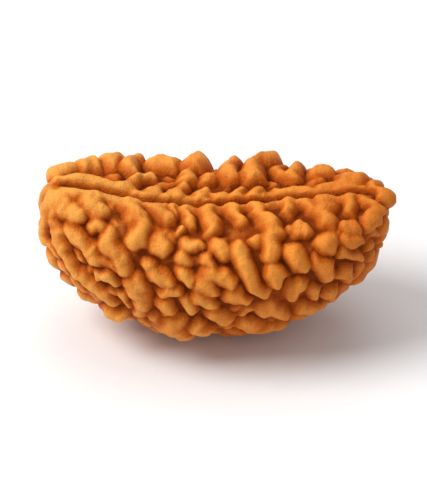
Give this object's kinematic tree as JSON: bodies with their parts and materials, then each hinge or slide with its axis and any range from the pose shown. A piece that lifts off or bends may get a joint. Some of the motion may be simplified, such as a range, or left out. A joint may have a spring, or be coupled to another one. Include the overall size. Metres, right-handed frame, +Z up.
{
  "type": "rudraksha seed",
  "caption": "Half-moon seed stone with a groove from tip to tip along its flat side, blunt warts and winding ridges all round, standing on its round belly.",
  "frame": {"origin": "middle of the small flat spot under the belly that the seed stands on", "axes": "+X along the seed towards its narrower tip, -Y towards the side that the picture shows, +Z up to the groove"},
  "size_m": [0.026, 0.0131, 0.0132],
  "materials": {
    "stone": "satin, orange-brown crests and darker crevices"
  },
  "bodies": {
    "root": {"rudraksha_seed": "stone"}
  },
  "joints": []
}
